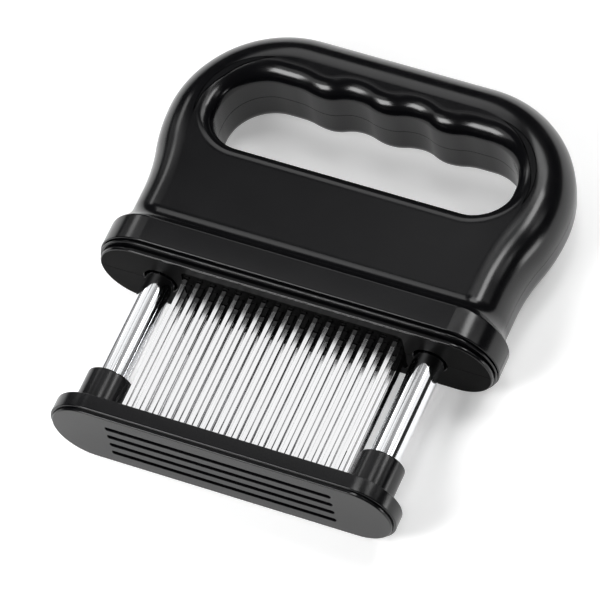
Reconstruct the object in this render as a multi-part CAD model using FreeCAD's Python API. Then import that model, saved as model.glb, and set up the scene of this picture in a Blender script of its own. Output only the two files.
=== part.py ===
"""Blade meat tenderizer: a two-part D-handle that carries four rows of blades, and a sprung guard
foot that slides up two hollow posts when the tool is pressed down.

Every piece is drawn in the tool's own frame: X along the foot, Y from the foot up to the handle and
Z towards the front, with zero at the middle of the foot's underside. The finished tool lies on its
back, front face up, so the last step moves each piece there: the origin is then under the middle of
the tool, at the level of the surface that it lies on.
"""
import FreeCAD, Part
import math
import os

V = FreeCAD.Vector
X_AXIS = V(1, 0, 0)
Y_AXIS = V(0, 1, 0)
Z_AXIS = V(0, 0, 1)
SIDES = {"left": -1, "right": 1}

# ---------------------------------------------------------------- driving dimensions, millimetres

# base flange, which the rest of the tool is set out from
band_half_length = 59.0
band_half_width = 14.83

# guard foot
foot_end_step = 8.4            # flange end to foot end
foot_side_step = 2.58          # flange side to foot side
foot_height = 5.6
foot_edge_round = 0.35
cover_thickness = 1.6
cover_drop = 1.0               # how far the cover stands below the plate
cover_inset = 0.9              # how far the cover lies inside the plate's edge
collar_radius = 6.65
collar_height = 11.7
collar_edge_round = 0.5
guard_stroke = 25.0            # travel of the guard towards the handle
guard_gap = 33.3               # collar top to handle underside at rest

# posts and springs
post_end_distance = 10.7       # foot end to post
post_radius = 4.35
post_wall = 0.6
plug_height = 9.6
screw_radius = 1.95
screw_head_radius = 3.7
screw_head_height = 1.8
screw_reach = 6.5              # thread length inside the plug
ring_radius = 5.9
ring_thickness = 1.2
ring_setback = 0.3             # ring to the post's upper end
bush_radius = 5.6
bush_flange_radius = 6.2
bush_flange_thickness = 1.2
bush_height = 5.3
spring_wire = 0.9
spring_side_gap = 0.4          # spring to the post's bore
spring_turns = 10
rod_pin_radius = 1.7
rod_pin_gap = 4.0              # plug to rod pin at full stroke
rod_seat_side_gap = 0.35       # spring seat to the post's bore
rod_seat_thickness = 1.2
rod_seat_drop = 3.2            # spring seat below the hanger web
rod_shank_radius = 2.2
rod_head_radius = 4.2
rod_head_thickness = 1.6

# blades
blade_rows = 4
row_pitch = 4.1
blade_pitch = 3.87
blade_width = 1.3
blade_thickness = 0.7
blade_head_width = 3.0
blade_head_height = 2.0
blade_point = 2.2              # length of the chisel point
blade_end_gap = 0.9            # least gap between the last blade and the window's end
blade_setback = 1.2            # blade point above the foot's underside at rest

# blade block
window_half_width = 8.1
window_corner = 1.5
block_ledge_length = 0.8       # how far the block overlaps the window's end
block_ledge_width = 1.4
block_end_gap = 0.3            # block to bush flange
comb_flange = 2.0
comb_recess = 0.2              # comb face above the handle underside
clamp_thickness = 4.4
clamp_screw_columns = 6        # blade pitches from one screw to the next
clamp_screw_radius = 1.0
clamp_screw_head_radius = 1.9
clamp_screw_head_height = 1.6
clamp_screw_reach = 2.6        # thread length inside the comb plate

# handle base: stadium layers, each set in from the flange at its ends and its sides
lip_end_step = 1.0
lip_side_step = 3.13
lip_height = 1.2
ledge_end_step = 0.4
ledge_side_step = 0.93
ledge_height = 0.6
groove_height = 0.35
groove_depth = 0.8
floor_thickness = 3.0
band_height = 7.9
flare_radius = 7.5

# handle body; each rise is a height above the handle's underside
handle_half_thickness = 12.0
handle_rise = 84.6
crown_end_step = 0.5           # how far the crown stands out past the flange
crown_radius = 33.5
waist_end_step = 3.6           # how far the waist stands in from the flange
waist_rise = 22.4
outer_roll = 8.5
shell_wall = 2.4

# finger opening; its ceiling waves are measured down from the crown
pillar_width = 15.5
opening_height = 25.1          # floor to the outer recesses
opening_floor_share = 0.42     # floor corner radius as a share of the height
opening_corner_share = 0.52    # ceiling corner radius as a share of the height
opening_roll = 5.0
finger_end_flat = 4.098        # ceiling between the last wave and the corner
centre_bump_depth = 19.5
inner_recess_depth = 18.0
outer_bump_depth = 20.0
outer_recess_depth = 18.8

# shell screws, ribs and bosses
panel_boss_x = 24.0
panel_boss_rise = 25.4
crown_boss_end_distance = 14.5
crown_boss_depth = 16.2        # below the crown
boss_radius = 3.6
boss_wall = 1.4                # round the counterbore
shell_screw_radius = 1.45
shell_screw_head_radius = 2.8
shell_screw_head_height = 2.0
shell_screw_reach = 6.0        # past the parting face into the front shell
counterbore_depth = 6.0
hanger_web = 2.0               # web in the handle that the rod hangs from
hanger_half_width = 6.4
rib_x = 14.0
cross_rib_rise = 16.4
cross_rib_end_gap = 5.55       # cross rib to post
rib_thickness = 1.8
bush_seat_wall = 1.5

# clearances
running_fit = 0.05
snug_fit = 0.03
loose_fit = 0.15
slot_fit = 0.3
post_hole_fit = 0.6
window_fit = 0.3
stop_gap = 0.2
seat_gap = 0.1
top_gap = 0.4                  # post to hanger web at full stroke

# ---------------------------------------------------------------- levels worked out from them

foot_half_length = band_half_length - foot_end_step
foot_half_width = band_half_width - foot_side_step
post_x = foot_half_length - post_end_distance
window_half_length = post_x - bush_flange_radius - block_end_gap - block_ledge_length
lip_half_length = band_half_length - lip_end_step
lip_half_width = band_half_width - lip_side_step
ledge_half_length = band_half_length - ledge_end_step
ledge_half_width = band_half_width - ledge_side_step
crown_half_width = band_half_length + crown_end_step
waist_half_width = band_half_length - waist_end_step
opening_half_width = crown_half_width - pillar_width
collar_top_y = foot_height + collar_height
base_y = collar_top_y + guard_gap
handle_top = base_y + handle_rise
waist_y = base_y + waist_rise
cross_rib_y = base_y + cross_rib_rise
cross_rib_half_length = post_x - post_radius - cross_rib_end_gap
centre_bump_y = handle_top - centre_bump_depth
inner_recess_y = handle_top - inner_recess_depth
outer_bump_y = handle_top - outer_bump_depth
outer_recess_y = handle_top - outer_recess_depth
opening_floor_y = outer_recess_y - opening_height
opening_floor_radius = opening_height * opening_floor_share
opening_corner_radius = opening_height * opening_corner_share
floor_y = base_y + floor_thickness
band_y = base_y + lip_height + ledge_height + 2 * groove_height
band_top_y = band_y + band_height
flare_root_y = band_top_y - (flare_radius - math.sqrt(
    flare_radius ** 2 - (flare_radius - band_half_width + handle_half_thickness) ** 2))
comb_top_y = floor_y + comb_flange
clamp_top_y = comb_top_y + clamp_thickness
bush_top_y = floor_y + bush_height
screw_head_y = cover_thickness + seat_gap
screw_neck_y = screw_head_y + screw_head_height
post_foot_y = screw_neck_y + seat_gap
post_top_y = bush_top_y + stop_gap + ring_thickness + ring_setback
plug_top_y = post_foot_y + plug_height
hanger_y = post_top_y + guard_stroke + top_gap
rod_head_y = hanger_y + hanger_web
rod_seat_y = hanger_y - rod_seat_drop
rod_pin_y = plug_top_y + guard_stroke + rod_pin_gap
block_half_length = window_half_length + block_ledge_length
block_half_width = window_half_width + block_ledge_width
post_bore = post_radius - post_wall
spring_mean_radius = post_bore - spring_side_gap - spring_wire / 2
rod_seat_radius = post_bore - rod_seat_side_gap
blades_per_side = math.floor(
    (window_half_length - blade_width / 2 - blade_end_gap) / blade_pitch)
blades_per_row = 2 * blades_per_side + 1
clamp_screw_pitch = clamp_screw_columns * blade_pitch
row_positions = [(i - (blade_rows - 1) / 2) * row_pitch for i in range(blade_rows)]
blade_positions = [(i - (blades_per_row - 1) / 2) * blade_pitch for i in range(blades_per_row)]
clamp_screw_positions = [i * clamp_screw_pitch for i in (-1, 0, 1)]
shell_bosses = [
    (panel_boss_x, base_y + panel_boss_rise),
    (crown_half_width - crown_boss_end_distance, handle_top - crown_boss_depth),
]
FAR = 200.0                    # beyond the tool on every side
OVERCUT = 1.0                  # how far a cutter runs past the face that it opens
SKIN = 0.01                    # overlap of two cutters that meet on one face
LEVEL_TOLERANCE = 1e-4


# ---------------------------------------------------------------- small shape helpers

def slab(x0, x1, y0, y1, z0, z1):
    """A box between two corners."""
    return Part.makeBox(x1 - x0, y1 - y0, z1 - z0, V(x0, y0, z0))


def post(radius, y0, y1, x=0.0, z=0.0):
    """A cylinder along Y from y0 to y1."""
    return Part.makeCylinder(radius, y1 - y0, V(x, y0, z), Y_AXIS)


def peg(radius, z0, z1, x, y):
    """A cylinder along Z from z0 to z1."""
    return Part.makeCylinder(radius, z1 - z0, V(x, y, z0), Z_AXIS)


def stadium(half_length, half_width, y0, y1):
    """A plate with two round ends, standing on y0."""
    s = half_length - half_width
    right_end = Part.Arc(V(s, y0, half_width), V(half_length, y0, 0), V(s, y0, -half_width))
    left_end = Part.Arc(V(-s, y0, -half_width), V(-half_length, y0, 0), V(-s, y0, half_width))
    edges = [
        Part.LineSegment(V(-s, y0, half_width), V(s, y0, half_width)).toShape(),
        right_end.toShape(),
        Part.LineSegment(V(s, y0, -half_width), V(-s, y0, -half_width)).toShape(),
        left_end.toShape(),
    ]
    return Part.Face(Part.Wire(edges)).extrude(V(0, y1 - y0, 0))


def slot(half_length, half_width, y0, y1, z):
    """A round-ended slot along X, as a solid to cut with."""
    cutter = stadium(half_length, half_width, y0, y1)
    cutter.translate(V(0, 0, z))
    return cutter


def edges_at_level(shape, y):
    """The edges that lie wholly at one height."""
    box_list = [(edge, edge.BoundBox) for edge in shape.Edges]
    return [edge for edge, box in box_list
            if abs(box.YMin - y) < LEVEL_TOLERANCE and abs(box.YMax - y) < LEVEL_TOLERANCE]


def edges_on_faces(shape, z):
    """The edges that lie wholly in the front or the rear face."""
    return [edge for edge in shape.Edges
            if abs(abs(edge.BoundBox.ZMin) - z) < LEVEL_TOLERANCE
            and edge.BoundBox.ZLength < LEVEL_TOLERANCE]


def s_bend(start, end, along):
    """Two equal tangent arcs from start to end, both leaving and arriving parallel to along."""
    run = end - start
    length = abs(run.dot(along))
    drop = run - along * run.dot(along)
    if drop.Length < LEVEL_TOLERANCE:
        return [line(start, end)]
    turn = 2 * math.atan2(drop.Length, length)
    radius = length / (2 * math.sin(turn))
    middle = (start + end) * 0.5
    forward = along * math.copysign(1, run.dot(along))
    crest = (forward * radius * math.sin(turn / 2)
             + drop.normalize() * radius * (1 - math.cos(turn / 2)))
    return [
        Part.Arc(start, start + crest, middle).toShape(),
        Part.Arc(middle, end - crest, end).toShape(),
    ]


def corner(centre, radius, start_deg, end_deg):
    """A round corner between two directions, seen from the front."""
    mid_deg = (start_deg + end_deg) / 2
    points = [centre + V(math.cos(math.radians(a)), math.sin(math.radians(a)), 0) * radius
              for a in (start_deg, mid_deg, end_deg)]
    return Part.Arc(*points).toShape()


def line(start, end):
    """A straight edge."""
    return Part.LineSegment(start, end).toShape()


def symmetric_face(right_edges):
    """A face bounded by the given right-hand edges and their mirror images."""
    left_edges = [edge.mirror(V(0, 0, 0), X_AXIS) for edge in right_edges]
    ordered = Part.sortEdges(right_edges + left_edges)[0]
    return Part.Face(Part.Wire(ordered))


# ---------------------------------------------------------------- handle shells

def handle_outline():
    """The D-shaped outline of the handle, from the crown down to the base."""
    flat_x = crown_half_width - crown_radius
    shoulder_y = handle_top - crown_radius
    edges = [
        line(V(0, handle_top, 0), V(flat_x, handle_top, 0)),
        corner(V(flat_x, shoulder_y, 0), crown_radius, 90, 0),
    ]
    edges += s_bend(V(crown_half_width, shoulder_y, 0), V(waist_half_width, waist_y, 0), Y_AXIS)
    edges += [
        line(V(waist_half_width, waist_y, 0), V(waist_half_width, band_y, 0)),
        line(V(waist_half_width, band_y, 0), V(0, band_y, 0)),
    ]
    return symmetric_face(edges)


def opening_outline():
    """The finger opening: flat floor, round corners and a ceiling with four finger waves."""
    floor_x = opening_half_width - opening_floor_radius
    ceiling_x = opening_half_width - opening_corner_radius
    half = (ceiling_x - finger_end_flat) / 3
    corner_y = outer_recess_y - opening_corner_radius
    wave = [V(0, centre_bump_y, 0), V(half, inner_recess_y, 0), V(2 * half, outer_bump_y, 0),
            V(3 * half, outer_recess_y, 0)]
    edges = []
    for start, end in zip(wave, wave[1:]):
        edges += s_bend(start, end, X_AXIS)
    edges += [
        line(wave[-1], V(ceiling_x, outer_recess_y, 0)),
        corner(V(ceiling_x, corner_y, 0), opening_corner_radius, 90, 0),
        line(V(opening_half_width, corner_y, 0),
             V(opening_half_width, opening_floor_y + opening_floor_radius, 0)),
        corner(V(floor_x, opening_floor_y + opening_floor_radius, 0), opening_floor_radius, 0, -90),
        line(V(floor_x, opening_floor_y, 0), V(0, opening_floor_y, 0)),
    ]
    return symmetric_face(edges)


def rolled_plate(inset):
    """The D-shaped plate with rolled edges, drawn smaller all round by the inset."""
    half = handle_half_thickness - inset
    face = handle_outline()
    if inset:
        face = face.makeOffset2D(-inset)
    plate = face.extrude(V(0, 0, 2 * half))
    plate.translate(V(0, 0, -half))
    rim = [edge for edge in edges_on_faces(plate, half) if edge.BoundBox.YMax > band_top_y]
    return plate.makeFillet(outer_roll - inset, rim)


def handle_plate(inset):
    """The rolled plate with its finger opening cut and the opening's edges rolled."""
    plate = rolled_plate(inset)
    half = handle_half_thickness - inset
    face = opening_outline()
    if inset:
        face = face.makeOffset2D(inset)
    hole = face.extrude(V(0, 0, 2 * FAR))
    hole.translate(V(0, 0, -FAR))
    box = hole.BoundBox
    box.enlarge(SKIN)
    cut = plate.cut(hole)
    rim = [edge for edge in edges_on_faces(cut, half)
           if box.XMin < edge.BoundBox.XMin and edge.BoundBox.XMax < box.XMax
           and box.YMin < edge.BoundBox.YMin and edge.BoundBox.YMax < box.YMax]
    return cut.makeFillet(opening_roll - inset, rim)


def flared_handle():
    """The handle with a concave flare at its foot that runs out at the base band's edge."""
    handle = handle_plate(0.0)
    table = slab(-FAR, FAR, band_y, flare_root_y, -FAR, FAR)
    joined = handle.fuse(table).removeSplitter()
    seam = [edge for edge in edges_at_level(joined, flare_root_y)
            if edge.BoundBox.XMin > -band_half_length and edge.BoundBox.XMax < band_half_length]
    flared = joined.makeFillet(flare_radius, seam)
    keep = stadium(band_half_length, band_half_width, band_y, waist_y)
    upper = slab(-FAR, FAR, waist_y, FAR, -FAR, FAR)
    return flared.common(keep.fuse(upper)).removeSplitter()


def handle_base():
    """The stepped layers under the band: groove, ledge, groove and lip."""
    lip_top = base_y + lip_height
    ledge_low = lip_top + groove_height
    ledge_top = ledge_low + ledge_height
    layers = [
        stadium(lip_half_length, lip_half_width, base_y, lip_top),
        stadium(lip_half_length - groove_depth, lip_half_width - groove_depth, lip_top, ledge_low),
        stadium(ledge_half_length, ledge_half_width, ledge_low, ledge_top),
        stadium(ledge_half_length - groove_depth, ledge_half_width - groove_depth, ledge_top, band_y),
    ]
    return layers[0].multiFuse(layers[1:])


def turned(profile, x):
    """A piece turned about the post's line, from its (radius, y) profile."""
    points = [V(x + r, y, 0) for r, y in profile]
    face = Part.Face(Part.makePolygon(points + points[:1]))
    return face.revolve(V(x, 0, 0), Y_AXIS, 360)


def rounded_slab(half_length, half_width, y0, y1, radius):
    """A rectangular plate with round upright corners."""
    block = slab(-half_length, half_length, y0, y1, -half_width, half_width)
    upright = [edge for edge in block.Edges if edge.BoundBox.YLength > LEVEL_TOLERANCE]
    return block.makeFillet(radius, upright)


def boss_places():
    """The four screw places on both sides of the handle."""
    return [(side * x, y) for x, y in shell_bosses for side in SIDES.values()]


def handle_cavity():
    """The room inside the closed handle."""
    band_room = stadium(band_half_length - shell_wall, band_half_width - shell_wall,
                        floor_y, band_top_y - shell_wall)
    return handle_plate(shell_wall).fuse(band_room)


def inner_webs(cavity):
    """Ribs, bush seats and rod hangers that both shells share, trimmed to the room inside."""
    rib_top = opening_floor_y
    webs = [slab(-cross_rib_half_length, cross_rib_half_length, cross_rib_y,
                 cross_rib_y + rib_thickness, -FAR, FAR)]
    for side in SIDES.values():
        rib_middle = side * rib_x
        webs.append(slab(rib_middle - rib_thickness / 2, rib_middle + rib_thickness / 2,
                         clamp_top_y + seat_gap, rib_top, -FAR, FAR))
        x = side * post_x
        webs.append(slab(x - hanger_half_width, x + hanger_half_width, hanger_y, rib_top, -FAR, FAR))
        seat = post(bush_flange_radius + loose_fit + bush_seat_wall, floor_y, bush_top_y - seat_gap, x)
        webs.append(seat)
    block_room = slab(-block_half_length - seat_gap, block_half_length + seat_gap, floor_y,
                      clamp_top_y + seat_gap, -FAR, FAR)
    return [web.cut(block_room).common(cavity) for web in webs]


def handle_cuts():
    """What is cut through both closed shells: the blade window, post holes and seats."""
    cuts = [rounded_slab(window_half_length, window_half_width, base_y - OVERCUT, floor_y + SKIN,
                         window_corner)]
    for side in SIDES.values():
        x = side * post_x
        cuts.append(post(post_radius + post_hole_fit, base_y - OVERCUT, floor_y + OVERCUT, x))
        cuts.append(post(bush_radius + loose_fit, floor_y, bush_top_y, x))
        cuts.append(post(bush_flange_radius + loose_fit, floor_y,
                         floor_y + bush_flange_thickness + seat_gap, x))
        cuts.append(post(rod_shank_radius + loose_fit, hanger_y - OVERCUT, rod_head_y + SKIN, x))
        cuts.append(post(rod_head_radius + loose_fit, rod_head_y,
                         rod_head_y + rod_head_thickness + seat_gap, x))
    return cuts


def handle_shells():
    """The front and rear halves of the handle, split on the middle plane."""
    envelope = flared_handle().fuse(handle_base()).removeSplitter()
    cavity = handle_cavity()
    hollow = envelope.cut(cavity).multiFuse(inner_webs(cavity))
    hollow = hollow.cut(Part.makeCompound(handle_cuts()))
    half = handle_half_thickness
    head_room = shell_screw_head_radius + slot_fit
    seat_z = counterbore_depth - half
    front = hollow.common(slab(-FAR, FAR, -FAR, FAR, 0, FAR))
    rear = hollow.common(slab(-FAR, FAR, -FAR, FAR, -FAR, 0))
    for x, y in boss_places():
        front_boss = peg(boss_radius, 0, half, x, y).common(envelope)
        pilot = peg(shell_screw_radius + snug_fit, 0, shell_screw_reach + OVERCUT, x, y)
        front = front.fuse(front_boss).cut(pilot)
        cup = peg(head_room + boss_wall, -half, seat_z + boss_wall, x, y).common(envelope)
        stem = peg(boss_radius, seat_z, 0, x, y)
        head_hole = peg(head_room, -half - OVERCUT, seat_z, x, y)
        shank_hole = peg(shell_screw_radius + loose_fit, -half, 0, x, y)
        rear = rear.fuse(cup.fuse(stem)).cut(head_hole.fuse(shank_hole))
    return front.removeSplitter(), rear.removeSplitter()


def handle_screws():
    """Self-tapping screws driven from the rear, one in each boss."""
    seat_z = counterbore_depth - handle_half_thickness
    screws = []
    for x, y in boss_places():
        head = peg(shell_screw_head_radius, seat_z - shell_screw_head_height, seat_z, x, y)
        shank = peg(shell_screw_radius, seat_z, shell_screw_reach, x, y)
        screws.append(head.fuse(shank).removeSplitter())
    return screws


# ---------------------------------------------------------------- blade block

def comb_plate():
    """The plate in the base window, with one slot for each blade."""
    nose = rounded_slab(window_half_length - window_fit, window_half_width - window_fit,
                        base_y + comb_recess, comb_top_y, window_corner)
    flange = rounded_slab(block_half_length, block_half_width, floor_y, comb_top_y, window_corner)
    plate = nose.fuse(flange).removeSplitter()
    half_x = blade_width / 2 + loose_fit
    half_z = blade_thickness / 2 + loose_fit
    slots = [slab(x - half_x, x + half_x, base_y, comb_top_y + OVERCUT, z - half_z, z + half_z)
             for z in row_positions for x in blade_positions]
    holes = [post(clamp_screw_radius + snug_fit, comb_top_y - clamp_screw_reach - seat_gap,
                  comb_top_y + OVERCUT, x) for x in clamp_screw_positions]
    return plate.cut(Part.makeCompound(slots + holes))


def clamp_plate():
    """The plate over the comb, whose channels trap the blade heads."""
    plate = rounded_slab(block_half_length, block_half_width, comb_top_y, clamp_top_y, window_corner)
    half_x = blade_positions[-1] + blade_head_width / 2 + loose_fit
    half_z = blade_thickness / 2 + loose_fit
    channels = [slab(-half_x, half_x, comb_top_y - OVERCUT, comb_top_y + blade_head_height + seat_gap,
                     z - half_z, z + half_z) for z in row_positions]
    holes = [post(clamp_screw_radius + loose_fit, comb_top_y - OVERCUT, clamp_top_y + OVERCUT, x)
             for x in clamp_screw_positions]
    return plate.cut(Part.makeCompound(channels + holes))


def clamp_screws():
    """Screws along the middle of the block, between the second and third rows."""
    low_y = comb_top_y - clamp_screw_reach
    screws = []
    for x in clamp_screw_positions:
        head = post(clamp_screw_head_radius, clamp_top_y, clamp_top_y + clamp_screw_head_height, x)
        screws.append(head.fuse(post(clamp_screw_radius, low_y, clamp_top_y, x)).removeSplitter())
    return screws


def blade(x, z):
    """One flat blade: a slanted chisel point, a straight shank and a T head."""
    half = blade_width / 2
    half_head = blade_head_width / 2
    head_top = comb_top_y + blade_head_height
    outline = [(-half, blade_setback), (half, blade_setback + blade_point), (half, comb_top_y),
               (half_head, comb_top_y), (half_head, head_top), (-half_head, head_top),
               (-half_head, comb_top_y), (-half, comb_top_y)]
    points = [V(x + dx, y, z - blade_thickness / 2) for dx, y in outline]
    return Part.Face(Part.makePolygon(points + points[:1])).extrude(V(0, 0, blade_thickness))


# ---------------------------------------------------------------- guard foot and posts

def blade_slots(y0, y1):
    """The long slots that each let one row of blades through the foot."""
    half_length = blade_positions[-1] + blade_width / 2 + slot_fit
    half_width = blade_thickness / 2 + slot_fit
    return [slot(half_length, half_width, y0, y1, z) for z in row_positions]


def foot_plate():
    """The guard's upper plate with post sockets above and a recess for the cover below."""
    plate = stadium(foot_half_length, foot_half_width, cover_drop, foot_height)
    rim = edges_at_level(plate, foot_height) + edges_at_level(plate, cover_drop)
    plate = plate.makeFillet(foot_edge_round, rim)
    recess = stadium(foot_half_length - cover_inset + loose_fit,
                     foot_half_width - cover_inset + loose_fit, 0, cover_thickness)
    cuts = [recess] + blade_slots(0, foot_height + OVERCUT)
    for side in SIDES.values():
        cuts.append(turned([
            (0, 0), (screw_head_radius + loose_fit, 0),
            (screw_head_radius + loose_fit, screw_head_y),
            (screw_radius + loose_fit, screw_neck_y),
            (screw_radius + loose_fit, post_foot_y), (post_radius + snug_fit, post_foot_y),
            (post_radius + snug_fit, foot_height + OVERCUT), (0, foot_height + OVERCUT)],
            side * post_x))
    return plate.cut(Part.makeCompound(cuts))


def foot_cover():
    """The thin slotted plate that closes the foot's underside."""
    plate = stadium(foot_half_length - cover_inset, foot_half_width - cover_inset, 0, cover_thickness)
    plate = plate.makeFillet(foot_edge_round, edges_at_level(plate, 0))
    return plate.cut(Part.makeCompound(blade_slots(-OVERCUT, cover_thickness + OVERCUT)))


def post_collar(x):
    """The collar round a post's foot."""
    bore = post_radius + snug_fit
    ring = turned([(bore, foot_height), (collar_radius, foot_height), (collar_radius, collar_top_y),
                   (bore, collar_top_y)], x)
    rim = [edge for edge in edges_at_level(ring, collar_top_y)
           if edge.BoundBox.XLength > bore + collar_radius]
    return ring.makeFillet(collar_edge_round, rim)


def guide_post(x):
    """The hollow post."""
    return turned([(post_bore, post_foot_y), (post_radius, post_foot_y), (post_radius, post_top_y),
                   (post_bore, post_top_y)], x)


def post_plug(x):
    """The threaded plug in the post's lower end."""
    hole = screw_radius + snug_fit
    hole_top = screw_neck_y + screw_reach + seat_gap
    outer = post_bore - snug_fit
    return turned([(hole, post_foot_y), (outer, post_foot_y), (outer, plug_top_y), (0, plug_top_y),
                   (0, hole_top), (hole, hole_top)], x)


def post_screw(x):
    """The flat-head screw that pulls the post down into its socket."""
    return turned([(0, screw_head_y), (screw_head_radius, screw_head_y),
                   (screw_radius, screw_neck_y), (screw_radius, screw_neck_y + screw_reach),
                   (0, screw_neck_y + screw_reach)], x)


def stop_ring(x):
    """The ring near the post's upper end that stops it on the bush."""
    low_y = bush_top_y + stop_gap
    bore = post_radius + snug_fit
    return turned([(bore, low_y), (ring_radius, low_y), (ring_radius, low_y + ring_thickness),
                   (bore, low_y + ring_thickness)], x)


def guide_bush(x):
    """The flanged bush that the post runs in."""
    bore = post_radius + running_fit
    flange_top = floor_y + bush_flange_thickness
    return turned([(bore, floor_y), (bush_flange_radius, floor_y), (bush_flange_radius, flange_top),
                   (bush_radius, flange_top), (bush_radius, bush_top_y), (bore, bush_top_y)], x)


def spring_rod(x):
    """The rod that hangs in the handle and carries the upper end of the spring."""
    seat_top = rod_seat_y + rod_seat_thickness
    head_top = rod_head_y + rod_head_thickness
    return turned([
        (0, rod_pin_y), (rod_pin_radius, rod_pin_y), (rod_pin_radius, rod_seat_y),
        (rod_seat_radius, rod_seat_y), (rod_seat_radius, seat_top), (rod_shank_radius, seat_top),
        (rod_shank_radius, rod_head_y), (rod_head_radius, rod_head_y), (rod_head_radius, head_top),
        (0, head_top)], x)


def return_spring(x):
    """A compression spring of square wire between the plug and the rod's seat."""
    low_y = plug_top_y + seat_gap + spring_wire / 2
    height = rod_seat_y - seat_gap - spring_wire / 2 - low_y
    helix = Part.makeHelix(height / spring_turns, height, spring_mean_radius)
    half = spring_wire / 2
    corners = [V(spring_mean_radius + dx * half, 0, dz * half)
               for dx, dz in ((-1, -1), (1, -1), (1, 1), (-1, 1), (-1, -1))]
    coil = Part.Wire(helix.Edges).makePipeShell([Part.makePolygon(corners)], True, True)
    coil.rotate(V(0, 0, 0), X_AXIS, -90)
    coil.translate(V(x, low_y, 0))
    return coil


# ---------------------------------------------------------------- assembly

def save(name, solids):
    """Move a node's solids to the row frame and write them as one STEP file."""
    if not isinstance(solids, list):
        solids = [solids]
    shape = Part.makeCompound(solids) if len(solids) > 1 else solids[0]
    shape = shape.copy()
    shape.translate(V(0, -handle_top / 2, band_half_width))
    shape.exportStep("parts/" + name + ".step")
    print(name, len(shape.Solids), round(shape.Volume, 1), shape.isValid())


def main():
    """Build every piece and write its node."""
    os.makedirs("parts", exist_ok=True)
    front_shell, rear_shell = handle_shells()
    save("handle_front_shell", front_shell)
    save("handle_rear_shell", rear_shell)
    save("handle_screws", handle_screws())
    save("blade_comb_plate", comb_plate())
    save("blade_clamp_plate", clamp_plate())
    save("clamp_screws", clamp_screws())
    for number, z in enumerate(row_positions, start=1):
        save("blade_row_" + str(number), [blade(x, z) for x in blade_positions])
    save("foot_plate", foot_plate())
    save("foot_cover", foot_cover())
    save("post_screws", [post_screw(side * post_x) for side in SIDES.values()])
    for name, side in SIDES.items():
        x = side * post_x
        save("post_collar_" + name, post_collar(x))
        save("guide_post_" + name, guide_post(x))
        save("post_plug_" + name, post_plug(x))
        save("stop_ring_" + name, stop_ring(x))
        save("guide_bush_" + name, guide_bush(x))
        save("spring_rod_" + name, spring_rod(x))
        save("return_spring_" + name, return_spring(x))


if __name__ == "__main__":
    main()
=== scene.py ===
"""Blade meat tenderizer: the finished pieces, their materials, the table and the studio.

Sizes are millimetres in the tool's own frame: X along the foot, Y from the foot's underside up to
the crown, Z out of the front face, with zero in the middle of the foot. settle() moves a finished
mesh to the shared frame in metres, where the tool lies on its back.
"""

import logging
import math
from dataclasses import dataclass, field
from enum import Enum
from typing import Iterable, Mapping, Sequence

import bmesh
import bpy
from mathutils import Matrix, Vector

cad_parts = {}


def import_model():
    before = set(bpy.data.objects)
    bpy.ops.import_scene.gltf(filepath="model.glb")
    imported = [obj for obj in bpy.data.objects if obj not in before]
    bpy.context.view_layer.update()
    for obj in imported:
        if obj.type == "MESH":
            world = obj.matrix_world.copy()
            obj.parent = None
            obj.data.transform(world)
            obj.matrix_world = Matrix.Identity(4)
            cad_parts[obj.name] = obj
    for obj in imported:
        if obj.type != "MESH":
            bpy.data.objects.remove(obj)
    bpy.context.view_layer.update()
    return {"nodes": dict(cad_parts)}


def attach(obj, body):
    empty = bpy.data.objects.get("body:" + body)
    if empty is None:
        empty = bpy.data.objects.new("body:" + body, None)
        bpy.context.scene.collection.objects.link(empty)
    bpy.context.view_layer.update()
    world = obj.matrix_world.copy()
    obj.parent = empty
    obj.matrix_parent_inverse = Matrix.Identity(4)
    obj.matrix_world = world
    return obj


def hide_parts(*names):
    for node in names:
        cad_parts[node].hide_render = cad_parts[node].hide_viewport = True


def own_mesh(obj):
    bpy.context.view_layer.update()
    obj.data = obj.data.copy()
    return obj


log = logging.getLogger("tenderizer")

Form = bmesh.types.BMesh
Piece = bpy.types.Object
Tree = bpy.types.NodeTree
Node = bpy.types.Node
Pair = tuple[float, float]
Triple = tuple[float, float, float]
Colour = tuple[float, float, float, float]
Stations = list[tuple[Vector, Vector]]    # places along an outline, with the heading at each
Stop = tuple[float, float, Vector]        # distance in, height and direction out

MM = 0.001
TOP = 135.2                    # height of the crown
BACK = 14.83                   # from the middle plane down to the table
POST_X = 39.9
ROWS = (-6.15, -2.05, 2.05, 6.15)
FULL_TURN = 2 * math.pi
OVERCUT = 1.0                  # how far a cutter runs past the face that it opens
IN_PLANE = 1e-4                # a point nearer to a plane than this lies in it
ON_CUT = 1e-5                  # the same for a cut


class Side(Enum):
    """A side of the tool, with its way along X."""

    LEFT = -1
    RIGHT = 1

    @property
    def label(self) -> str:
        """The side's word in a piece's name."""
        return self.name.lower()

    @property
    def post_x(self) -> float:
        """Where the side's post stands."""
        return self.value * POST_X


class Body(Enum):
    """The body that a piece moves with."""

    HANDLE = "handle"
    GUARD = "guard"


class Join(Enum):
    """How one closed form meets another."""

    UNITE = "UNION"
    CUT = "DIFFERENCE"


# ---------------------------------------------------------------- shared helpers

def linear(code: str) -> Colour:
    """Turns an sRGB hex code into linear RGBA.

    Args:
        code: Six hex digits.

    Returns:
        Linear red, green and blue, and an alpha of one.
    """
    channels = [int(code[i:i + 2], 16) / 255 for i in (0, 2, 4)]
    made = [c / 12.92 if c <= 0.04045 else ((c + 0.055) / 1.055) ** 2.4 for c in channels]
    return made[0], made[1], made[2], 1.0


def scaled(colour: Colour, by: float) -> Colour:
    """A colour made paler or deeper."""
    return colour[0] * by, colour[1] * by, colour[2] * by, 1.0


def per_metre(size_mm: float) -> float:
    """How often a pattern of one size comes in a metre."""
    return 1 / (size_mm * MM)


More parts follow.
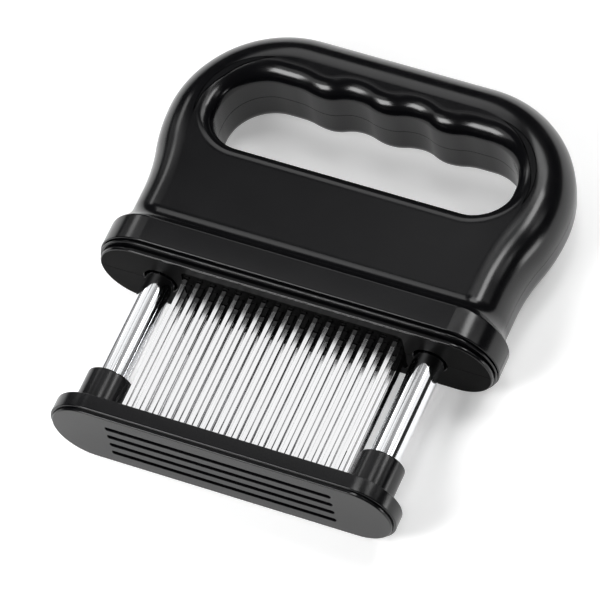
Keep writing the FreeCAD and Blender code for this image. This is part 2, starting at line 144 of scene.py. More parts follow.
def add_node(tree: Tree, kind: str, settings: Mapping[str | int, object] | None = None,
             links: Mapping[str | int, Node | bpy.types.NodeSocket] | None = None) -> Node:
    """Adds a node with its settings and incoming links.

    Args:
        tree: The node tree that gets the node.
        kind: The node's type name, after ShaderNode.
        settings: Values by input, or by property name where no input has it.
        links: What feeds each input: an output socket, or a node for its first output.

    Returns:
        The new node.
    """
    node = tree.nodes.new("ShaderNode" + kind)
    names = {socket.name for socket in node.inputs}
    for name, value in (settings or {}).items():
        if isinstance(name, int) or name in names:
            node.inputs[name].default_value = value
        else:
            setattr(node, name, value)
    for name, source in (links or {}).items():
        socket = source.outputs[0] if isinstance(source, bpy.types.Node) else source
        tree.links.new(socket, node.inputs[name])
    return node


def set_ramp(node: Node, stops: Sequence[tuple[float, Colour]]) -> None:
    """Gives a colour ramp its stops.

    Args:
        node: The ramp.
        stops: Place and colour of each stop, in rising order.
    """
    elements = node.color_ramp.elements
    while len(elements) > 1:
        elements.remove(elements[-1])
    elements[0].position, elements[0].color = stops[0]
    for position, colour in stops[1:]:
        elements.new(position).color = colour


def patch(bm: Form, lines: Sequence[Sequence[Vector]]) -> None:
    """Lays a grid of quads through lines of points.

    Args:
        bm: The mesh that gets the grid.
        lines: The points of each line, as many in each.
    """
    columns, rows = len(lines), len(lines[0])
    made = bmesh.ops.create_grid(bm, x_segments=columns - 1, y_segments=rows - 1, size=1.0)
    for vert in made["verts"]:
        column = round((vert.co.x + 1) / 2 * (columns - 1))
        row = round((vert.co.y + 1) / 2 * (rows - 1))
        vert.co = lines[column][row]


def open_edges(bm: Form) -> list[bmesh.types.BMEdge]:
    """The edges with a face on one side only."""
    return [edge for edge in bm.edges if edge.is_boundary]


def whole(bm: Form) -> list[bmesh.types.BMVert | bmesh.types.BMEdge | bmesh.types.BMFace]:
    """Every point, edge and face."""
    return bm.verts[:] + bm.edges[:] + bm.faces[:]


def fill_level(bm: Form, axis: int, level: float) -> None:
    """Fills the open outlines that lie in one plane, leaving the outlines inside them as holes.

    Args:
        bm: The mesh, with its doubles merged.
        axis: 0, 1 or 2 for the axis that the plane stands across.
        level: The plane's place on that axis.
    """
    rim = [edge for edge in open_edges(bm)
           if all(abs(v.co[axis] - level) < IN_PLANE for v in edge.verts)]
    normal = Vector((0, 0, 0))
    normal[axis] = 1.0
    bmesh.ops.triangle_fill(bm, use_beauty=True, use_dissolve=False, normal=normal, edges=rim)


def merge(bm: Form, distance: float = 0.001) -> None:
    """Merges points that lie on each other."""
    bmesh.ops.remove_doubles(bm, verts=bm.verts, dist=distance)


def add_form(bm: Form, other: Form) -> None:
    """Adds a form to a mesh as it is.

    Args:
        bm: The mesh that gets the form.
        other: The form. It is freed.
    """
    mesh = bpy.data.meshes.new("form")
    other.to_mesh(mesh)
    other.free()
    bm.from_mesh(mesh)
    bpy.data.meshes.remove(mesh)


def stand(bm: Form, name: str) -> Piece:
    """Stands a mesh in the scene as an object.

    Args:
        bm: The mesh. It is freed.
        name: The object's name.

    Returns:
        The object.
    """
    mesh = bpy.data.meshes.new(name)
    bm.to_mesh(mesh)
    bm.free()
    piece = bpy.data.objects.new(name, mesh)
    bpy.context.scene.collection.objects.link(piece)
    return piece


def joined(bm: Form, other: Form, how: Join) -> Form:
    """Joins a closed form to another, or cuts it out of the other.

    Args:
        bm: The form that is changed. It is freed.
        other: The form that is joined or cut out. It is freed.
        how: Which of the two.

    Returns:
        The new form.
    """
    pieces = []
    for form in (bm, other):
        bmesh.ops.recalc_face_normals(form, faces=form.faces)
        pieces.append(stand(form, "form"))
    cut = pieces[0].modifiers.new("cut", "BOOLEAN")
    cut.operation, cut.object, cut.solver = how.value, pieces[1], "EXACT"
    meshes = [piece.data for piece in pieces]
    meshes.append(bpy.data.meshes.new_from_object(
        pieces[0].evaluated_get(bpy.context.evaluated_depsgraph_get())))
    made = bmesh.new()
    made.from_mesh(meshes[-1])
    for piece in pieces:
        bpy.data.objects.remove(piece)
    for mesh in meshes:
        bpy.data.meshes.remove(mesh)
    return made


def turn(bm: Form, corners: Sequence[Triple], centre: Triple, axis: Triple, steps: int,
         closed: bool = False) -> None:
    """Turns an outline about a line.

    Args:
        bm: The mesh that gets the turned form.
        corners: The outline's corners in order.
        centre: A point of the line.
        axis: The line's direction.
        steps: Facets round the form.
        closed: Whether the outline runs back to its first corner.
    """
    verts = [bm.verts.new(corner) for corner in corners]
    ends = verts[1:] + verts[:1] if closed else verts[1:]
    edges = [bm.edges.new(pair) for pair in zip(verts, ends)]
    bmesh.ops.spin(bm, geom=verts + edges, cent=centre, axis=axis, angle=FULL_TURN, steps=steps,
                   use_merge=True)
    merge(bm)


def turn_across(bm: Form, points: Sequence[Pair], at: Pair, steps: int = 32) -> None:
    """Turns an outline of radius and Z about the front-to-rear line at one X and Y."""
    turn(bm, [(at[0] + radius, at[1], z) for radius, z in points], (*at, 0), (0, 0, 1), steps)


def bend(start: Vector, corner: Vector, end: Vector, steps: int = 3) -> list[Vector]:
    """Points of a curve that turns from its start to its end inside a corner, both ends in it."""
    shares = [k / steps for k in range(steps + 1)]
    return [start * (1 - t) ** 2 + corner * (2 * t * (1 - t)) + end * t ** 2 for t in shares]


def quarter(radius: float, steps: int = 3) -> list[Pair]:
    """How far in and up each point of a rounded edge lies, from its foot to its wall."""
    angles = [math.radians(90 * k / steps) for k in range(steps + 1)]
    return [(radius * (1 - math.sin(a)), radius * (1 - math.cos(a))) for a in angles]


def softened(points: Sequence[Pair], radius: float) -> list[Pair]:
    """Rounds every corner of a closed outline.

    Args:
        points: The corners in order.
        radius: How far the round starts from each corner, at most 2/5 of a side.

    Returns:
        The outline with its corners rounded.
    """
    made: list[Pair] = []
    count = len(points)
    for i in range(count):
        before, here, after = (Vector(points[j % count]) for j in (i - 1, i, i + 1))
        reach = min(radius, (before - here).length / 2.5, (after - here).length / 2.5)
        start = here + (before - here).normalized() * reach
        end = here + (after - here).normalized() * reach
        made += [(point.x, point.y) for point in bend(start, here, end)]
    return made


def fit(keys: Sequence[Pair], at: float) -> float:
    """Reads a value between keyed places, eased so that it leaves and reaches each key gently.

    Args:
        keys: Place and value pairs in rising order.
        at: The place to read.

    Returns:
        The value there.
    """
    if at <= keys[0][0]:
        return keys[0][1]
    for (low, start), (high, end) in zip(keys, keys[1:]):
        if at <= high:
            t = (at - low) / (high - low)
            return start + (end - start) * t * t * (3 - 2 * t)
    return keys[-1][1]


@dataclass
class Pen:
    """Draws an outline by runs and turns, and notes each place and heading on the way."""

    x: float
    y: float
    heading_deg: float
    stations: Stations = field(default_factory=list)

    def note(self) -> None:
        """Notes the place and heading."""
        angle = math.radians(self.heading_deg)
        self.stations.append((Vector((self.x, self.y)), Vector((math.cos(angle), math.sin(angle)))))

    def run(self, length: float, steps: int) -> "Pen":
        """Draws a straight run.

        Args:
            length: Of the run.
            steps: Places noted on it.

        Returns:
            The pen.
        """
        angle = math.radians(self.heading_deg)
        for _ in range(steps):
            self.x += math.cos(angle) * length / steps
            self.y += math.sin(angle) * length / steps
            self.note()
        return self

    def turn(self, radius: float, degrees: float, steps: int) -> "Pen":
        """Draws an arc.

        Args:
            radius: Of the arc.
            degrees: How far the pen turns, to the left where above zero.
            steps: Places noted on it.

        Returns:
            The pen.
        """
        side = math.copysign(1, degrees)
        for _ in range(steps):
            before = math.radians(self.heading_deg)
            self.heading_deg += degrees / steps
            after = math.radians(self.heading_deg)
            self.x += side * radius * (math.sin(after) - math.sin(before))
            self.y -= side * radius * (math.cos(after) - math.cos(before))
            self.note()
        return self

    def shift(self, length: float, drop: float, steps: int) -> "Pen":
        """Draws two equal arcs that end parallel to the start.

        Args:
            length: How far on they end.
            drop: How far to the left they end.
            steps: Places noted on each arc.

        Returns:
            The pen.
        """
        bend = 2 * math.atan2(abs(drop), length)
        radius = length / (2 * math.sin(bend))
        degrees = math.copysign(math.degrees(bend), drop)
        return self.turn(radius, degrees, steps).turn(radius, -degrees, steps)


def both_halves(stations: Stations) -> Stations:
    """Adds the mirror image to the left of a right-hand outline."""
    left = [(Vector((-p.x, p.y)), Vector((h.x, -h.y))) for p, h in reversed(stations[1:])]
    return left + stations


# ---------------------------------------------------------------- finishes

class Finish:
    """Something that can dress a piece."""

    name: str
    level_slack = 0.01
    downward = -0.95

    def material(self) -> bpy.types.Material:
        """Makes the material, or finds the one made before.

        Returns:
            The material.
        """
        found = bpy.data.materials.get(self.name)
        if found:
            return found
        made = bpy.data.materials.new(self.name)
        made.use_nodes = True
        made.node_tree.nodes.clear()
        add_node(made.node_tree, "OutputMaterial", links={"Surface": self.shade(made.node_tree)})
        return made

    def shade(self, tree: Tree) -> Node:
        """Builds the shader in the tree and returns it."""
        raise NotImplementedError

    def dress(self, piece: Piece) -> None:
        """Gives a piece this finish alone."""
        piece.data.materials.clear()
        piece.data.materials.append(self.material())

    def dress_below(self, piece: Piece, y: float) -> None:
        """Gives this finish to the faces at or below one height that look down the tool.

        Args:
            piece: The piece, dressed already.
            y: The height.
        """
        piece.data.materials.append(self.material())
        level = (y - TOP / 2 + self.level_slack) * MM
        for face in piece.data.polygons:
            if face.normal.y < self.downward and face.center.y < level:
                face.material_index = len(piece.data.materials) - 1


@dataclass(frozen=True)
class MouldedAbs(Finish):
    """Injection-moulded ABS. A polished mould leaves a deep gloss with a faint sink and flow, and
    handling leaves hairlines and a little haze."""

    name: str
    colour: str
    roughness: float
    ior: float = 1.5
    haze: float = 0.05         # how far the haze lifts the roughness
    haze_mm: float = 9.0       # size of a hazy patch
    haze_lift: float = 1.25    # how much paler a hazy patch is
    ripple_mm: float = 16.0    # length of the shrink ripples
    ripple: float = 0.03
    ripple_height: float = 0.4
    grain_mm: float = 0.35     # coarser than the real spark grain, so that it shows
    grain: float = 0.0
    grain_height: float = 0.05

    def shade(self, tree: Tree) -> Node:
        """Builds the plastic.

        Args:
            tree: The material's nodes.

        Returns:
            The shader.
        """
        place_of = add_node(tree, "TexCoord").outputs["Object"]
        haze = add_node(tree, "TexNoise",
                        {"Scale": per_metre(self.haze_mm), "Detail": 5.0, "Roughness": 0.6},
                        {"Vector": place_of})
        rough = add_node(tree, "MapRange",
                         {"From Min": 0.35, "From Max": 0.75, "To Min": self.roughness,
                          "To Max": self.roughness + self.haze}, {"Value": haze})
        tint = add_node(tree, "ValToRGB", links={"Fac": haze})
        deep = linear(self.colour)
        set_ramp(tint, [(0.3, deep), (0.8, scaled(deep, self.haze_lift))])
        ripples = add_node(tree, "TexNoise", {"Scale": per_metre(self.ripple_mm), "Detail": 1.0},
                           {"Vector": place_of})
        bump = add_node(tree, "Bump",
                        {"Strength": self.ripple, "Distance": self.ripple_height * MM},
                        {"Height": ripples})
        if self.grain:
            grain = add_node(tree, "TexNoise", {"Scale": per_metre(self.grain_mm), "Detail": 2.0},
                             {"Vector": place_of})
            bump = add_node(tree, "Bump",
                            {"Strength": self.grain, "Distance": self.grain_height * MM},
                            {"Height": grain, "Normal": bump})
        return add_node(tree, "BsdfPrincipled", {"IOR": self.ior},
                        {"Base Color": tint, "Roughness": rough, "Normal": bump})


@dataclass(frozen=True)
class DrawnMetal(Finish):
    """Steel drawn, ground or plated along the tool's length: fine lines along Y and a bright,
    slightly uneven gleam."""

    name: str
    colour: str
    roughness: float
    line_mm: float = 0.25      # across a line; coarser than the real grind, so that it shows
    line_length_mm: float = 30.0
    line_depth: float = 0.05
    line_height: float = 0.02
    line_shade: float = 0.9    # how much deeper the lines are
    uneven: float = 0.06
    smoothest: float = 0.02

    def shade(self, tree: Tree) -> Node:
        """Builds the metal.

        Args:
            tree: The material's nodes.

        Returns:
            The shader.
        """
        across = per_metre(self.line_mm)
        stretch = add_node(tree, "Mapping",
                           {"Scale": (across, per_metre(self.line_length_mm), across)},
                           {"Vector": add_node(tree, "TexCoord").outputs["Object"]})
        lines = add_node(tree, "TexNoise", {"Scale": 1.0, "Detail": 3.0}, {"Vector": stretch})
        rough = add_node(tree, "MapRange",
                         {"From Min": 0.3, "From Max": 0.7,
                          "To Min": max(self.roughness - self.uneven / 2, self.smoothest),
                          "To Max": self.roughness + self.uneven}, {"Value": lines})
        bump = add_node(tree, "Bump",
                        {"Strength": self.line_depth, "Distance": self.line_height * MM},
                        {"Height": lines})
        tint = add_node(tree, "ValToRGB", links={"Fac": lines})
        bright = linear(self.colour)
        set_ramp(tint, [(0.25, scaled(bright, self.line_shade)), (0.7, bright)])
        return add_node(tree, "BsdfPrincipled", {"Metallic": 1.0},
                        {"Base Color": tint, "Roughness": rough, "Normal": bump})


@dataclass(frozen=True)
class PaleTable(Finish):
    """A matt white table that shows as plain white and keeps the tool's shadow."""

    name: str = "matt_white_table"
    colour: str = "FAFAFA"
    lift: float = 0.34         # share of the plain white that eyes and mirrors see

    def shade(self, tree: Tree) -> Node:
        """Builds the table's shader.

        Args:
            tree: The material's nodes.

        Returns:
            The shader.
        """
        matt = add_node(tree, "BsdfDiffuse", {"Color": linear(self.colour)})
        rays = add_node(tree, "LightPath")
        seen = rays.outputs["Is Camera Ray"]
        for ray in ("Is Glossy Ray", "Is Transmission Ray"):
            seen = add_node(tree, "Math", {"operation": "MAXIMUM"},
                            {0: seen, 1: rays.outputs[ray]})
        share = add_node(tree, "Math", {"operation": "MULTIPLY", 1: self.lift}, {0: seen})
        glow = add_node(tree, "Emission", links={"Strength": share})
        return add_node(tree, "AddShader", links={0: matt, 1: glow})


class Part(Enum):
    """The finish of each kind of piece, with the material slot that it belongs to."""

    HANDLE = (MouldedAbs("polished_black_ABS", "08080A", 0.16, ior=1.42), "handle_abs")
    GUARD = (MouldedAbs("satin_black_ABS", "08080A", 0.2, ior=1.42, grain=0.04), "guard_abs")
    # the comb and clamp plates: real matt black plastic, made darker still and with its reflection
    # cut almost away as painted shade of the recess between the blades
    BLOCK = (MouldedAbs("matt_black_and_shade_ABS", "040404", 0.55, ior=1.05, grain=0.1), "block_abs")
    POST = (DrawnMetal("chrome_plated_steel_tube", "E9EAEC", 0.06, line_depth=0.0, uneven=0.01),
            "post_chrome")
    BLADE = (DrawnMetal("ground_stainless_steel", "E9E9EA", 0.04, line_depth=0.01, uneven=0.01),
             "blade_steel")
    SCREW = (DrawnMetal("zinc_plated_steel", "B9BCC2", 0.3, line_mm=0.4, line_length_mm=0.4),
             "screw_steel")
    FITTING = (DrawnMetal("turned_steel", "BDBEC0", 0.28), "fitting_steel")
    SPRING = (DrawnMetal("drawn_spring_wire", "9C9EA2", 0.3), "spring_steel")
    BUSH = (MouldedAbs("black_acetal", "121213", 0.4, grain=0.08), "bush_acetal")

    @property
    def finish(self) -> Finish:
        """The finish."""
        return self.value[0]

    @property
    def slot(self) -> str:
        """The record's material slot."""
        return self.value[1]


# painted shade: a darker copy of the handle's plastic with its reflection cut almost away, for the
# faces that look down the tool; its roughness and grain are a surface finish
PAINTED_SHADE_UNDERSIDE = MouldedAbs("painted_shade_underside_ABS", "060606", 0.5, ior=1.12, grain=0.12)


def settle(bm: Form, name: str, part: Part, body: Body, node: str, smooth_deg: float = 32.0
           ) -> Piece:
    """Places a finished mesh in the shared frame, dresses it and seats it on its body.

    Args:
        bm: The mesh in millimetres in the tool's frame. It is freed.
        name: The piece's name.
        part: Its kind.
        body: The body that it moves with.
        node: The node that it stands for.
        smooth_deg: Edges sharper than this stay sharp.

    Returns:
        The piece, at the origin and unscaled.
    """
    bmesh.ops.recalc_face_normals(bm, faces=bm.faces)
    bmesh.ops.translate(bm, verts=bm.verts, vec=(0, -TOP / 2, BACK))
    bmesh.ops.scale(bm, verts=bm.verts, vec=(MM, MM, MM))
    piece = stand(bm, name)
    piece.data.shade_smooth()
    piece.data.set_sharp_from_angle(angle=math.radians(smooth_deg))
    # flat faces keep their own direction, and the shading turns within the rounds
    weighted = piece.modifiers.new("flat_faces_first", "WEIGHTED_NORMAL")
    weighted.keep_sharp = True
    part.finish.dress(piece)
    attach(piece, body.value)
    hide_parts(node)
    log.info("%s: %d faces", name, len(piece.data.polygons))
    return piece


# ---------------------------------------------------------------- round-ended plates

@dataclass
class RoundEndedStack:
    """A stack of round-ended levels: the walls of the foot, its cover and the handle's base."""

    levels: list[Triple]           # half length, half width and height
    end_steps: int = 40
    straight_steps: int = 6

    def ring(self, half_length: float, half_width: float) -> list[Pair]:
        """The points of one level.

        Args:
            half_length: Of the level.
            half_width: Of the level.

        Returns:
            The points from the right end of the front side; the last repeats the first.
        """
        straight = half_length - half_width
        pen = Pen(straight, half_width, 180.0)
        pen.note()
        for _ in range(2):
            pen.run(2 * straight, self.straight_steps).turn(half_width, 180.0, self.end_steps)
        return [(p.x, p.y) for p, _ in pen.stations]

    def build(self, bm: Form) -> None:
        """Adds the walls, open at the first and the last level.

        Args:
            bm: The mesh that gets the walls.
        """
        rings = [[(x, y, z) for x, z in self.ring(length, width)]
                 for length, width, y in self.levels]
        patch(bm, [[Vector(point) for point in line] for line in zip(*rings)])


def round_over(wall: Sequence[float], steps: int = 3) -> list[Triple]:
    """Levels of an upright wall whose lower and upper edges are rounded.

    Args:
        wall: Its half length, half width, foot and top, and the rounds at the foot and the top.
        steps: Pieces in each round.

    Returns:
        Half length, half width and height of each level.
    """
    half_length, half_width, low, high, low_round, high_round = wall
    levels = []
    for radius, edge, way in ((low_round, low, 1), (high_round, high, -1)):
        levels += [(half_length - inset, half_width - inset, edge + way * up)
                   for inset, up in quarter(radius, steps)][::way]
    return levels


def hole_wall(bm: Form, ring: Sequence[Pair], centre: Pair, low: float, high: float,
              chamfer: float, chamfer_top: bool = False) -> None:
    """Adds the wall of a hole whose rim is chamfered.

    Args:
        bm: The mesh that gets the wall.
        ring: The hole's closed outline about its centre; the last point repeats the first.
        centre: X and Z of the centre.
        low: Height of the lower rim.
        high: Height of the upper rim.
        chamfer: How far the rim opens.
        chamfer_top: Whether the upper rim is chamfered too.
    """
    levels = [(low, chamfer), (low + chamfer, 0.0)]
    levels += [(high - chamfer, 0.0), (high, chamfer)] if chamfer_top else [(high, 0.0)]
    lines: list[list[Vector]] = []
    for i, here in enumerate(ring):
        before = ring[i - 1] if i else ring[-2]
        after = ring[i + 1] if i + 1 < len(ring) else ring[1]
        tangent = (Vector(after) - Vector(before)).normalized()
        outward = Vector((tangent.y, -tangent.x))
        if outward.dot(Vector(here)) < 0:
            outward = -outward
        lines.append([])
        for height, opening in levels:
            x, z = Vector(here) + outward * opening
            lines[-1].append(Vector((centre[0] + x, height, centre[1] + z)))
    patch(bm, lines)


def circle_ring(radius: float, steps: int = 64) -> list[Pair]:
    """A closed circle about zero."""
    return [(radius * math.cos(FULL_TURN * k / steps), radius * math.sin(FULL_TURN * k / steps))
            for k in range(steps)] + [(radius, 0.0)]


def slot_ring(half_length: float, half_width: float, steps: int = 12) -> list[Pair]:
    """A closed round-ended slot about zero."""
    return RoundEndedStack([], end_steps=steps, straight_steps=1).ring(half_length, half_width)


def window_ring(half_length: float, half_width: float, radius: float, steps: int = 8
                ) -> list[Pair]:
    """A closed rectangle with round corners about zero.

    Args:
        half_length: Of the rectangle.
        half_width: Of the rectangle.
        radius: Of its corners.
        steps: Pieces in each corner.

    Returns:
        The points; the last repeats the first.
    """
    pen = Pen(half_length - radius, half_width, 180.0)
    for side in (half_length, half_width, half_length, half_width):
        pen.run(2 * (side - radius), 1).turn(radius, 90.0, steps)
    ring = [(p.x, p.y) for p, _ in pen.stations]
    return ring + ring[:1]


# ---------------------------------------------------------------- guard

@dataclass(frozen=True)
class Sleeve:
    """A turned tube on a post's line, with softened corners."""

    name: str
    node: str
    part: Part
    bore: float
    radius: float
    low: float
    high: float
    edge_round: float = 0.2
    steps: int = 96

    def build(self, side: Side) -> None:
        """Builds the tube on one side.

        Args:
            side: The side.
        """
        x = side.post_x
        outline = [(self.bore, self.low), (self.radius, self.low), (self.radius, self.high),
                   (self.bore, self.high)]
        bm = bmesh.new()
        turn(bm, [(x + radius, y, 0) for radius, y in softened(outline, self.edge_round)],
             (x, 0, 0), (0, 1, 0), self.steps, closed=True)
        settle(bm, f"{self.name}_{side.label}", self.part, Body.GUARD,
               f"{self.node}_{side.label}", 40.0)


@dataclass
class Guard:
    """The foot with its slots, its cover, the collars, the posts and the rings on them."""

    half_length: float = 50.6
    half_width: float = 12.25
    height: float = 5.6
    cover_height: float = 1.6
    cover_drop: float = 1.0        # the plate's rim ends this far above the cover's face
    cover_inset: float = 0.9
    cover_gap: float = 0.15
    cover_top_round: float = 0.1
    edge_round: float = 0.35
    edge_steps: int = 4
    slot_half_length: float = 33.0
    slot_half_width: float = 0.8
    slot_chamfer: float = 0.12
    socket_radius: float = 4.38
    socket_chamfer: float = 0.01
    sleeves: tuple[Sleeve, ...] = (
        Sleeve("collar", "post_collar", Part.GUARD, 4.38, 6.65, 5.6, 17.3, edge_round=0.5),
        Sleeve("chrome_post", "guide_post", Part.POST, 3.75, 4.35, 3.6, 60.6, steps=128),
        Sleeve("stop_collar", "stop_ring", Part.FITTING, 4.38, 5.9, 59.1, 60.3),
    )

    def slots(self, bm: Form, low: float, high: float) -> None:
        """Adds the walls of the four slots.

        Args:
            bm: The mesh that gets the walls.
            low: Height of the lower rims.
            high: Height of the upper rims.
        """
        for z in ROWS:
            hole_wall(bm, slot_ring(self.slot_half_length, self.slot_half_width), (0.0, z),
                      low, high, self.slot_chamfer, chamfer_top=True)

    def plate(self) -> None:
        """Builds the upper plate."""
        bm = bmesh.new()
        RoundEndedStack(round_over((self.half_length, self.half_width, self.cover_drop, self.height,
                                    self.edge_round, self.edge_round), self.edge_steps)).build(bm)
        self.slots(bm, self.cover_height, self.height)
        for side in Side:
            hole_wall(bm, circle_ring(self.socket_radius), (side.post_x, 0.0),
                      self.cover_height, self.height, self.socket_chamfer)
        inset = self.cover_inset - self.cover_gap
        RoundEndedStack([(self.half_length - inset, self.half_width - inset, y)
                         for y in (self.cover_drop, self.cover_height)]).build(bm)
        merge(bm)
        for level in (self.cover_drop, self.cover_height, self.height):
            fill_level(bm, 1, level)
        settle(bm, "guard_foot", Part.GUARD, Body.GUARD, "foot_plate")

    def cover(self) -> None:
        """Builds the thin plate that closes the underside."""
        bm = bmesh.new()
        inset = self.cover_inset
        RoundEndedStack(round_over(
            (self.half_length - inset, self.half_width - inset, 0.0, self.cover_height,
             self.edge_round, self.cover_top_round), self.edge_steps)).build(bm)
        self.slots(bm, 0.0, self.cover_height)
        merge(bm)
        for level in (0.0, self.cover_height):
            fill_level(bm, 1, level)
        settle(bm, "guard_foot_cover", Part.GUARD, Body.GUARD, "foot_cover")

    def build(self) -> None:
        """Builds the guard."""
        self.plate()
        self.cover()
        for side in Side:
            for sleeve in self.sleeves:
                sleeve.build(side)


# ---------------------------------------------------------------- handle

@dataclass
class HandleShell:
    """One half of the handle: rolled grip and pillars, flat panel, flare, band and stepped base."""

    half_thickness: float = 12.0
    wall: float = 2.4
    groove: float = 0.09           # half of the line between the two halves
    groove_depth: float = 0.5
    base_seam: float = 0.07        # the same line on the underside
    waist_half_width: float = 55.4
    # outline: the crown's straight run and bend, then the pillar, drawn in on its way down
    crown_run: float = 26.0
    crown_radius: float = 33.5
    pillar_run: float = 28.7
    pillar_shift: float = -4.1
    # opening: waves from the middle of its ceiling, then round to the middle of its floor
    opening_middle: float = 115.7
    opening_floor: float = 91.3
    wave_half: float = 8.95
    wave_drops: Triple = (1.5, -2.0, 1.2)
    ceiling_run: float = 4.098
    ceiling_radius: float = 13.052
    side_run: float = 1.506
    floor_radius: float = 10.542
    floor_run: float = 33.458
    waves_end: float = 27.0
    waves_low: float = 110.0       # below every wave
    roll_steps: int = 14
    flat_steps: int = 24
    lap: float = 0.2               # how far a roll runs on over the flat face
    # how far in and down the outer roll reaches, by height
    outer_widths: tuple[Pair, ...] = ((73, 10.0), (101.7, 10.4), (120, 11.8), (135.2, 12.0))
    outer_heights: tuple[Pair, ...] = ((73, 11.6), (135.2, 11.6))
    # the same for the opening's roll, by share of the opening's height
    inner_widths: tuple[Pair, ...] = ((0, 4.1), (0.45, 5.4), (1, 5.3))
    inner_heights: tuple[Pair, ...] = ((0, 2.8), (0.45, 4.8), (1, 5.2))
    # heights from the waist down to the flare
    waist_rows: tuple[float, ...] = (73.0, 71.0, 69.0, 67.07)
    flare_top: float = 66.87
    flare_radius: float = 7.5
    flare_steps: int = 12
    # round between the flare and the band: height on the band, and reach on the flare
    crease: float = 0.4
    crease_reach: float = 0.24
    longest_reach: float = 8.0     # from the body out to the band
    band_half_length: float = 59.0
    band_half_width: float = 14.83
    band_low: float = 53.1
    band_round: float = 0.35
    band_row: float = 4.0          # a row of points this far above the band's foot
    # the base's two steps: half length, half width, foot, top, and the rounds there
    lip: tuple[float, ...] = (58.0, 11.7, 50.6, 51.8, 0.4, 0.2)
    ledge: tuple[float, ...] = (58.6, 13.9, 52.15, 52.75, 0.25, 0.2)
    step_inset: float = 0.8
    floor_high: float = 53.6
    window: Triple = (32.6, 8.1, 1.5)      # half length, half width and corners
    window_chamfer: float = 0.06
    post_hole: float = 4.95
    post_chamfer: float = 0.15

    def outline(self) -> Stations:
        """The D-shaped outline.

        Returns:
            Places and headings from the left waist over the crown to the right waist.
        """
        pen = Pen(0.0, TOP, 0.0)
        pen.note()
        pen.run(self.crown_run, 16).turn(self.crown_radius, -90.0, 44)
        pen.shift(self.pillar_run, self.pillar_shift, 12)
        return both_halves(pen.stations)

    def opening(self) -> Stations:
        """The finger opening.

        Returns:
            Places and headings from the middle of its floor round and back.
        """
        pen = Pen(0.0, self.opening_middle, 0.0)
        pen.note()
        for drop in self.wave_drops:
            pen.shift(self.wave_half, drop, 9)
        pen.run(self.ceiling_run, 3).turn(self.ceiling_radius, -90.0, 30)
        pen.run(self.side_run, 1).turn(self.floor_radius, -90.0, 26)
        pen.run(self.floor_run, 14)
        return both_halves(pen.stations)

    def section(self, width: float, height: float, inset: float) -> list[Stop]:
        """The stops of an elliptical roll, from the parting plane up to the flat face.

        Args:
            width: How far in the roll reaches.
            height: How far down from the top the roll reaches.
            inset: 0 outside, the wall's thickness inside.

        Returns:
            Distance in from the wall, height over the parting plane and direction out of each stop.
        """
        low = self.half_thickness - height
        top = self.half_thickness - inset
        level = Vector((1.0, 0.0))
        if inset:
            stops = [(inset, 0.0, level), (inset, low / 2, level), (inset, low, level)]
        else:
            stops = [(self.wall, 0.0, level), (self.groove_depth, 0.0, level),
                     (self.groove_depth, self.groove, level), (0.0, self.groove, level),
                     (0.0, (self.groove + low) / 2, level), (0.0, low, level)]
        across, up = width - inset, top - low
        for k in range(1, self.roll_steps + 1):
            angle = math.radians(90 * k / self.roll_steps)
            c = math.cos(angle) if k < self.roll_steps else 0.0
            out = Vector((c / across, math.sin(angle) / up)).normalized()
            stops.append((inset + across * (1 - c), low + up * math.sin(angle), out))
        stops.append((width + self.lap, top, Vector((0.0, 1.0))))
        return stops

    def outer_section(self, y: float, inset: float) -> list[Stop]:
        """The section of the outer roll at one height."""
        return self.section(fit(self.outer_widths, y), fit(self.outer_heights, y), inset)

    def inner_section(self, place_of: Vector, inset: float) -> list[Stop]:
        """The section of the opening's roll at one place.

        Args:
            place_of: The place on the opening's outline.
            inset: 0 outside, the wall's thickness inside.

        Returns:
            The stops.
        """
        depth = self.opening_middle - self.opening_floor
        wavy = abs(place_of.x) < self.waves_end and place_of.y > self.waves_low
        share = 1.0 if wavy else (place_of.y - self.opening_floor) / depth
        return self.section(fit(self.inner_widths, share), fit(self.inner_heights, share), inset)

    def rolls(self, bm: Form, inset: float) -> None:
        """Adds the outer roll and the opening's roll.

        Args:
            bm: The shell's mesh.
            inset: 0 outside, the wall's thickness inside.
        """
        outer, opening = self.outline(), self.opening()
        around = [self.outer_section(p.y, inset) for p, _ in outer]
        within = [self.inner_section(p, inset) for p, _ in opening]
        for stations, sections, way in ((outer, around, -1), (opening, within, 1)):
            lines: list[list[Vector]] = []
            for (p, heading), stops in zip(stations, sections):
                across = Vector((-heading.y, heading.x)) * way
                lines.append([Vector((*(p + across * inward), z)) for inward, z, _ in stops])
            patch(bm, lines)

    def body_section(self, inset: float) -> list[tuple[Vector, Vector, float]]:
        """The section below the waist.

        Args:
            inset: 0 outside, the wall's thickness inside.

        Returns:
            Point, direction out of it and inward shift, from the right side to the left.
        """
        right: list[tuple[Vector, Vector, float]] = []
        for inward, z, out in self.outer_section(self.waist_rows[0], inset):
            shift = inward if z <= self.groove and not inset else 0.0
            right.append((Vector((self.waist_half_width - inward + shift, z)), out, shift))
        flat_x = right[-1][0].x + self.lap
        flat = [(Vector((flat_x * (1 - 2 * k / self.flat_steps), self.half_thickness - inset)),
                 Vector((0, 1)), 0.0) for k in range(1, self.flat_steps)]
        left = [(Vector((-p.x, p.y)), Vector((-n.x, n.y)), shift)
                for p, n, shift in reversed(right)]
        return right + flat + left

    def to_band(self, point: Vector, out: Vector) -> tuple[float, Vector]:
        """How far a section point moves out to reach the band.

        Args:
            point: The point.
            out: The way that it moves.

        Returns:
            The distance, and the band's direction out where the point lands.
        """
        straight = self.band_half_length - self.band_half_width

        def distance(p: Vector) -> tuple[float, Vector]:
            """Distance to the band's wall and direction out of it."""
            away = p - Vector((min(max(p.x, -straight), straight), 0.0))
            return away.length - self.band_half_width, away.normalized()

        low, high = 0.0, self.longest_reach
        for _ in range(40):            # halved until nothing is left to gain
            middle = (low + high) / 2
            if distance(point + out * middle)[0] < 0:
                low = middle
            else:
                high = middle
        return low, distance(point + out * low)[1]

